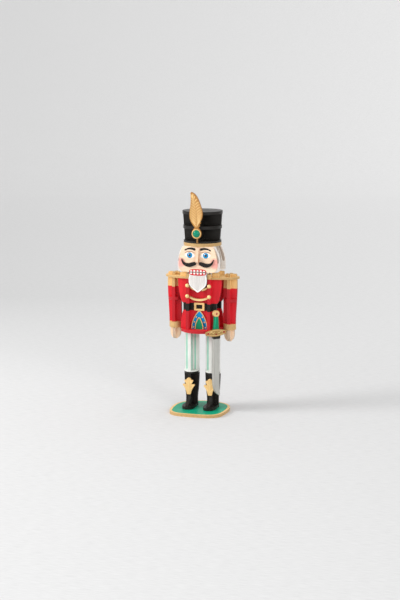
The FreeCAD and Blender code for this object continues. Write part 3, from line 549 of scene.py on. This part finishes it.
GOLD_TRIM = plain_paint("paint_gold_trim", GOLD, 0.36, 0.2)
PALE_TRIM = plain_paint("paint_pale_gold_trim", PALE_GOLD, 0.34, 0.2)
FEATHER_PAINT = plain_paint("paint_feather_barbs", srgb(250, 210, 144), 0.42, 0.1)
SHAFT_PAINT = plain_paint("paint_feather_shaft", srgb(204, 152, 88), 0.42, 0.1)
INK_PAINT = plain_paint("paint_ink", INK, 0.4)
TOOTH_PAINT = plain_paint("paint_teeth", TOOTH, 0.3)
WHITE_PAINT = plain_paint("paint_eye_white", srgb(250, 252, 250), 0.3)
LASH_PAINT = plain_paint("paint_eyelid", LASH, 0.5)
HAIR_STREAK = plain_paint("paint_hair_streak", HAIR_DARK, 0.5)
BEARD_EDGE = plain_paint("paint_beard_edge", BEARD_RIM, 0.45)
BEARD_STRAND = plain_paint("paint_beard_strand", srgb(222, 216, 212), 0.5)
FIELD_PAINT = plain_paint("paint_base_field", GREEN, 0.4, grain="x")
COLLAR_PAINT = plain_paint("paint_sword_collar", BLACK, 0.4)
HILT_PAINT = plain_paint("paint_hilt_highlight", srgb(0, 196, 138), 0.35)
EDGE_PAINT = plain_paint("paint_blade_edge", srgb(206, 206, 200), 0.4)


def iris_material():
    """Blue iris that darkens to its rim."""
    paint = Paint("paint_iris", IRIS, 0.2)
    for side in (-1, 1):
        u = paint.math("SUBTRACT", paint.axis["x"], side * EYE_X * MM)
        v = paint.math("SUBTRACT", paint.axis["z"], EYE_Z * MM)
        r2 = paint.math("ADD", paint.math("MULTIPLY", u, u), paint.math("MULTIPLY", v, v))
        ring = paint.remap(r2, (1.9 * MM) ** 2, (2.6 * MM) ** 2, 0.0, 1.0)
        near = paint.band(paint.axis["x"], side * EYE_X - 4, side * EYE_X + 4)
        paint.over(paint.math("MULTIPLY", ring, near), IRIS_RIM)
    return paint.finish(bump=0.1)


IRIS_PAINT = iris_material()
PUPIL_PAINT = plain_paint("paint_pupil", PUPIL, 0.2)

# Face
face_plane = facing_front(FACE_FRONT)
for side, sign in (("left", 1), ("right", -1)):
    eye_x = sign * EYE_X
    white = [(2.9, 157.6), (5.2, 160.6), (8.2, 161.5), (11.4, 160.6), (13.2, 158.6), (11.0, 156.6),
             (8.0, 155.9), (5.0, 156.3)]
    relief("eye_white_" + side, [on_side(white, sign)], face_plane, 0.16, WHITE_PAINT, "figure")
    relief("eye_iris_" + side, [oval(eye_x, EYE_Z, 2.65, 2.75)], facing_front(FACE_FRONT - 0.14), 0.16,
           IRIS_PAINT, "figure", bevel=0.08)
    relief("eye_pupil_" + side, [oval(eye_x + 0.1, EYE_Z, 1.15, 1.2)], facing_front(FACE_FRONT - 0.27),
           0.14, PUPIL_PAINT, "figure", bevel=0.06)
    relief("eye_glint_" + side, [oval(eye_x - 0.9, EYE_Z + 1.1, 0.45, 0.5)], facing_front(FACE_FRONT - 0.28),
           0.16, TOOTH_PAINT, "figure", bevel=0.05)
    lid = [(2.9, 160.9), (5.0, 161.8), (8.2, 162.2), (11.4, 161.7), (13.4, 160.6)]
    settle("eyelid_" + side, ridge_mesh(on_side(lid, sign), [0.12, 0.3, 0.34, 0.3, 0.1], face_plane, 0.5),
           LASH_PAINT, "figure")
    brow = [(2.8, 163.4), (2.6, 165.2), (4.6, 166.0), (8.4, 166.1), (11.2, 165.2), (13.4, 163.3),
            (10.6, 164.1), (7.4, 164.3), (4.8, 163.7)]
    relief("brow_" + side, [on_side(brow, sign)], face_plane, 0.3, INK_PAINT, "figure")


def lip_material():
    """Red lips, with painted shade along the line where they meet."""
    paint = Paint("paint_lips_and_mouth_shade", LIP, 0.34)
    # Painted shade: a dark red band along the mouth line, where the face meets the jaw.
    paint.zone("z", 141.2, 142.45, srgb(92, 22, 24), 0.1)
    return paint.finish()


LIP_PAINT = lip_material()
TOOTH_PITCH = 3.3
TOOTH_HALF_W = 0.98


def mouth_half(name, z_line, z_lip, tooth_ends, body):
    """Lip on one side of the mouth line, with five teeth between two heights."""
    rise = z_lip - z_line
    outline = [(-8.6, z_line), (8.6, z_line), (8.75, z_line + 0.35 * rise), (7.6, z_line + 0.78 * rise),
               (4.4, z_line + 0.98 * rise), (0.0, z_lip), (-4.4, z_line + 0.98 * rise),
               (-7.6, z_line + 0.78 * rise), (-8.75, z_line + 0.35 * rise)]
    relief(name + "_lip", [outline], face_plane, 0.35, LIP_PAINT, body, smooth=False, bevel=0.2)
    teeth = []
    z_root, z_tip = tooth_ends
    for i in range(-2, 3):
        u, half = i * TOOTH_PITCH, TOOTH_HALF_W
        tip = z_tip if abs(i) < 2 else z_tip + 0.2 * (z_root - z_tip)
        corner = tip + 0.25 * (z_root - tip)
        teeth.append(relief_mesh([[(u - half, z_root), (u + half, z_root), (u + half, corner),
                                   (u + 0.65, tip), (u - 0.65, tip), (u - half, corner)]],
                                 facing_front(FACE_FRONT - 0.3), 0.3, False, 0.15))
    settle(name + "_teeth", join(teeth), TOOTH_PAINT, body)


mouth_half("upper", 142.15, 144.9, (142.4, 144.0), "figure")
mouth_half("lower", 141.55, 138.6, (141.4, 139.75), "jaw")

# Beard
BEARD_TOP_Z = 137.6
rim = [(8.1, 138.2), (8.6, 136.0), (8.65, 133.4), (8.3, 130.4), (7.2, 128.2), (4.6, 125.7), (2.0, 123.6),
       (0.0, 122.4)]
rim_loop = rim + mirrored(rim[:-1])[::-1]
settle("beard_edge", ridge_mesh(rim_loop, [0.55] * len(rim_loop), face_plane, 0.45),
       BEARD_EDGE, "jaw")
strands = []
for i in range(-4, 5):
    u = i * 1.65
    drop = 13.4 - 1.45 * abs(u)
    strand = [(u, BEARD_TOP_Z), (u * 1.04 + 0.2, BEARD_TOP_Z - drop * 0.4),
              (u * 0.98 - 0.2, BEARD_TOP_Z - drop * 0.75), (u * 0.86, BEARD_TOP_Z - drop)]
    strands.append(ridge_mesh(strand, [0.3, 0.34, 0.3, 0.08], face_plane, 0.45))
settle("beard_strands", join(strands), BEARD_STRAND, "jaw")

# Hair locks on both faces of both hair sheets
LOCKS = [
    ([(15.2, 165.8), (17.4, 160.8), (18.6, 157.0), (19.5, 153.4), (19.8, 151.0)], [0.7, 1.2, 1.4, 1.4, 0.8]),
    ([(14.0, 165.0), (15.4, 160.0), (16.6, 154.0), (16.9, 147.0), (16.4, 144.0)], [0.2, 0.35, 0.4, 0.4, 0.2]),
    ([(12.6, 166.5), (13.8, 160.0), (14.4, 152.0), (14.0, 144.4)], [0.3, 0.5, 0.5, 0.2]),
    ([(10.0, 166.8), (10.9, 160.0), (11.2, 151.0), (10.7, 143.8)], [0.3, 0.6, 0.7, 0.2]),
    ([(7.2, 166.8), (7.9, 159.0), (8.0, 150.0), (7.4, 143.6)], [0.3, 0.6, 0.7, 0.2]),
    ([(3.4, 166.8), (3.9, 159.0), (3.8, 150.0), (3.4, 143.4)], [0.3, 0.6, 0.7, 0.2]),
]
HAIR_FACES = (("front", facing_front(HAIR_FRONTS[0]), 2), ("front_inner", facing_back(HAIR_BACKS[0]), 6),
              ("back_inner", facing_front(HAIR_FRONTS[1]), 6), ("back", facing_back(HAIR_BACKS[1]), 6))
for label, plane, count in HAIR_FACES:
    meshes = []
    for points, radii in LOCKS[:count]:
        for sign in (1, -1):
            meshes.append(ridge_mesh(on_side(points, sign), radii, plane, 0.3))
    settle("hair_locks_" + label, join(meshes), HAIR_STREAK, "figure")

# Feather: shaft and barbs, on both faces
BARBS_PER_VANE = 12
SHAFT = [(0.0, 186.5), (0.1, 193.0), (-0.2, 200.0), (-1.0, 207.0), (-2.6, 213.5), (-5.0, 219.2)]
LEFT_VANE = [(-1.75, 187.4), (-6.2, 194.8), (-6.8, 200.5), (-6.2, 206.0), (-5.7, 212.6), (-5.8, 218.6)]
RIGHT_VANE = [(1.75, 187.6), (4.6, 194.6), (5.6, 200.4), (4.5, 206.0), (2.5, 212.0), (-3.6, 219.6)]


def along(points, t):
    """Point at share t of a polyline."""
    place = t * (len(points) - 1)
    i = min(int(place), len(points) - 2)
    f = place - i
    return (points[i][0] * (1 - f) + points[i + 1][0] * f, points[i][1] * (1 - f) + points[i + 1][1] * f)


for label, plane, sign in (("front", facing_front(FEATHER_FRONT), 1),
                           ("back", facing_back(FEATHER_BACK), -1)):
    shaft = ridge_mesh(on_side(SHAFT, sign), [0.4, 0.38, 0.34, 0.3, 0.24, 0.1], plane, 0.7)
    settle("feather_shaft_" + label, shaft, SHAFT_PAINT, "figure")
    meshes = []
    for vane in (LEFT_VANE, RIGHT_VANE):
        for i in range(BARBS_PER_VANE):
            t = 0.02 + i * 0.078
            root = along(SHAFT, t)
            tip = along(vane, min(1.0, t + 0.14))
            mid = ((root[0] + tip[0]) / 2, (root[1] + tip[1]) / 2 + 0.5)
            meshes.append(ridge_mesh(on_side([root, mid, tip], sign), [0.3, 0.58, 0.24], plane, 0.4))
    settle("feather_barbs_" + label, join(meshes), FEATHER_PAINT, "figure")
bezel = ridge_mesh(oval(0, JEWEL_Z, 4.1, 4.1), [0.5] * 12, facing_front(FEATHER_FRONT), 0.9, True)
settle("jewel_bezel", bezel, GOLD_TRIM, "figure")

# Boot crests: raised middle vein and side veins
for side, sign in (("left", 1), ("right", -1)):
    x = sign * LEG_X
    plane = facing_front(-12.0)
    meshes = [ridge_mesh([(x, 18.0), (x, 24.0), (x, 29.0), (x, 32.8)], [0.25, 0.4, 0.4, 0.2], plane, 0.5)]
    for flip in (-1, 1):
        meshes.append(ridge_mesh([(x + flip * 0.2, 20.0), (x + flip * 2.6, 22.8), (x + flip * 5.1, 26.1)],
                                 [0.15, 0.3, 0.15], plane, 0.5))
        meshes.append(ridge_mesh([(x + flip * 0.2, 26.4), (x + flip * 1.7, 28.4), (x + flip * 3.6, 30.4)],
                                 [0.15, 0.28, 0.15], plane, 0.5))
    settle("boot_crest_veins_" + side, join(meshes), PALE_TRIM, "figure")

# Apron: gilt arches and beads
panel_plane = facing_front(TORSO_FRONT - 1.2)
centre_plane = facing_front(TORSO_FRONT - 2.4)


def arch(half_base, apex, inset):
    """Outline just inside a pointed arch that stands on the skirt."""
    height = apex - APRON_FLOOR_Z
    right = [(half_base - inset, APRON_FLOOR_Z + 0.1)]
    for share_out, share_up, pull in ((0.91, 0.33, 1.0), (0.62, 0.66, 1.0), (0.3, 0.87, 0.8)):
        right.append((share_out * half_base - inset * pull, APRON_FLOOR_Z + share_up * height))
    return right + [(0.0, apex - inset * 1.5)] + mirrored(right)[::-1]


settle("apron_outer_piping", ridge_mesh(arch(8.5, 102.6, 0.35), [0.5] * 9, panel_plane, 0.7), GOLD_TRIM,
       "figure")
settle("apron_inner_piping", ridge_mesh(arch(4.5, 96.2, 0.35), [0.45] * 9, centre_plane, 0.7), GOLD_TRIM,
       "figure")
beads = []
for u, v in ((6.3, 85.7), (5.3, 91.0), (3.3, 96.0), (-6.3, 85.7), (-5.3, 91.0), (-3.3, 96.0)):
    beads.append(relief_mesh([oval(u, v, 0.75, 0.75, 8)], panel_plane, 0.5, True, 0.3))
settle("apron_beads", join(beads), GOLD_TRIM, "figure")

# Buttons: turned rims
rims = []
for x in (-BUTTON_X, BUTTON_X):
    for z in BUTTON_ZS:
        rims.append(ridge_mesh(oval(x, z, 1.7, 1.7), [0.35] * 12, facing_front(FRAME_FRONT), 0.8, True))
settle("button_rims", join(rims), PALE_TRIM, "figure")

# Sword: collar, blade edges, guard scrolls, pommel ring
sword_plane = facing_sword(SWORD_FRONT)
guard_plane = facing_sword(GUARD_FRONT)
relief("sword_collar", [[(-3.95, 75.9), (3.95, 75.9), (3.95, 78.9), (-3.95, 78.9)]], sword_plane, 0.7,
       COLLAR_PAINT, "figure", smooth=False, bevel=0.3)
fuller = [ridge_mesh([(u, 75.4), (u, 50.0), (u + 0.2, 34.0 - 3.0 * abs(u))], [0.2, 0.22, 0.06],
                     sword_plane, 0.5)
          for u in (-1.6, 0.0, 1.6)]
settle("blade_ridges", join(fuller), EDGE_PAINT, "figure")
scrolls = []
for points, radii in (([(8.5, 82.2), (5.6, 83.4), (3.4, 82.2), (1.8, 83.3)], [0.15, 0.28, 0.3, 0.12]),
                      ([(-8.5, 82.2), (-5.6, 83.4), (-3.4, 82.2), (-1.8, 83.3)], [0.15, 0.28, 0.3, 0.12]),
                      ([(-11.0, 83.3), (0, 84.9), (11.0, 83.3)], [0.2, 0.28, 0.2]),
                      ([(-11.0, 81.1), (0, 79.5), (11.0, 81.1)], [0.2, 0.28, 0.2])):
    scrolls.append(ridge_mesh([(u + GUARD_SHIFT, v) for u, v in points], radii, guard_plane, 0.6))
settle("guard_scrolls", join(scrolls), PALE_TRIM, "figure")
settle("hilt_highlight", ridge_mesh([(-1.5, 97.6), (-1.95, 92.0), (-2.3, 86.2)], [0.3, 0.42, 0.3],
                                    sword_plane, 0.4), HILT_PAINT, "figure")
settle("pommel_ring", ridge_mesh(oval(0, POMMEL_Z, 2.5, 2.5), [0.42] * 12, sword_plane, 0.8, True),
       GOLD_TRIM, "figure")

# Base: painted field inside a gilt border
BASE_RIGHT = [(0, -37.4), (10, -37.1), (19, -35.2), (24.9, -30.1), (27.8, -20.5), (28.9, -8.5),
              (27.8, 3.5), (23.0, 12.8), (13.2, 19.2), (0, 21.6)]
BASE_MIDDLE = -8.0
field = []
for x, y in BASE_RIGHT:
    reach = math.hypot(x, y - BASE_MIDDLE)
    field.append((x * (1 - 2.5 / reach), BASE_MIDDLE + (y - BASE_MIDDLE) * (1 - 2.5 / reach)))
relief("base_field", [field + mirrored(field[1:-1])[::-1]], facing_up(3.0), 0.14, FIELD_PAINT, "figure",
       bevel=0.06)


# ---------------------------------------------------------------- studio

def studio_material():
    """Matt paper with painted light and shade: its brightness drifts with depth behind the figure and from
    left to right.
    """
    paint = Paint("studio_paper_painted_light", srgb(215, 215, 215), 0.9)
    paint.shader.inputs["Specular IOR Level"].default_value = 0.1
    x, y = paint.axis["x"], paint.axis["y"]
    depth = paint.math("SUBTRACT", paint.math("MULTIPLY", y, 0.959), paint.math("MULTIPLY", x, 0.284))
    across = paint.math("ADD", paint.math("MULTIPLY", x, 0.959), paint.math("MULTIPLY", y, 0.284))
    share = paint.remap(paint.math("DIVIDE", across, paint.math("ADD", depth, 1.3)), -0.15, 0.15, 0.0, 1.0)
    near = paint.remap(depth, 0.1, 0.7, 0.0, 1.0)
    far = paint.remap(depth, 0.7, 2.6, 0.0, 1.0)
    # Painted light and shade: paper tones for near, middle and far, on the left and on the right.
    left = paint.mix(far, paint.mix(near, srgb(216, 216, 216), srgb(201, 201, 201)), srgb(230, 230, 230))
    right = paint.mix(far, paint.mix(near, srgb(213, 213, 213), srgb(221, 221, 221)), srgb(245, 245, 245))
    paint.colour = paint.mix(share, left, right)
    return paint.finish(grain="x", bump=0.0, mottle=0.0)


def sweep():
    """Round floor that curves up into a wall on every side."""
    floor_r = 2.6
    profile = [(1.6, 0.0), (floor_r, 0.0)]
    radius = 1.6
    profile += [(floor_r + radius * math.sin(a), radius * (1 - math.cos(a)))
                for a in [math.radians(d) for d in range(6, 91, 6)]]
    mesh = bmesh.new()
    steps = 96
    turns = [2 * math.pi * i / steps for i in range(steps)]
    rings = [[mesh.verts.new((r * math.cos(turn), r * math.sin(turn), z)) for turn in turns]
             for r, z in profile]
    mesh.faces.new(rings[0])
    for a, b in zip(rings, rings[1:]):
        for i in range(steps):
            mesh.faces.new((a[i], a[(i + 1) % steps], b[(i + 1) % steps], b[i]))
    data = bpy.data.meshes.new("studio_sweep")
    mesh.to_mesh(data)
    mesh.free()
    for polygon in data.polygons:
        polygon.use_smooth = len(polygon.vertices) == 4
    obj = bpy.data.objects.new("studio_sweep", data)
    bpy.context.scene.collection.objects.link(obj)
    data.materials.append(studio_material())


def area_light(name, place, target, size, watts, tint=(1.0, 1.0, 1.0)):
    data = bpy.data.lights.new(name, "AREA")
    data.shape = "DISK"
    data.size = size
    data.energy = watts
    data.color = tint
    obj = bpy.data.objects.new(name, data)
    obj.location = place
    obj.rotation_euler = (Vector(target) - Vector(place)).to_track_quat("-Z", "Y").to_euler()
    bpy.context.scene.collection.objects.link(obj)


sweep()
area_light("key", (-1.9, -1.0, 1.1), (0, 0, 0.1), 1.0, 40.0)
area_light("fill", (1.6, -1.6, 0.9), (0, 0, 0.1), 1.0, 14.0)
area_light("top", (0.2, 0.3, 2.6), (0, 0, 0.0), 1.6, 6.0)
world = bpy.data.worlds.new("studio_world")
world.use_nodes = True
world.node_tree.nodes["Background"].inputs["Color"].default_value = (1.0, 1.0, 1.0, 1.0)
world.node_tree.nodes["Background"].inputs["Strength"].default_value = 0.8
bpy.context.scene.world = world
bpy.context.scene.view_settings.view_transform = "Standard"

# Camera, in metres
AZIMUTH = math.radians(16.5)
PITCH = math.radians(9.5)
HALF_FIELD = math.radians(13.0)
DISTANCE = 1.2994
LOOK_HEIGHT = 0.1115
LOOK_SHIFT = 0.0026
right = Vector((math.cos(AZIMUTH), math.sin(AZIMUTH), 0.0))
level = Vector((-math.sin(AZIMUTH), math.cos(AZIMUTH), 0.0))
forward = level * math.cos(PITCH) - Vector((0.0, 0.0, math.sin(PITCH)))
look_at = Vector((0.0, 0.0, LOOK_HEIGHT)) - right * LOOK_SHIFT
camera_data = bpy.data.cameras.new("camera")
camera_data.sensor_width = 36.0
camera_data.lens = 18.0 / math.tan(HALF_FIELD)
camera_data.clip_start = 0.05
camera_data.clip_end = 50.0
camera = bpy.data.objects.new("camera", camera_data)
camera.location = look_at - forward * DISTANCE
camera.rotation_euler = forward.to_track_quat("-Z", "Y").to_euler()
bpy.context.scene.collection.objects.link(camera)
bpy.context.scene.camera = camera
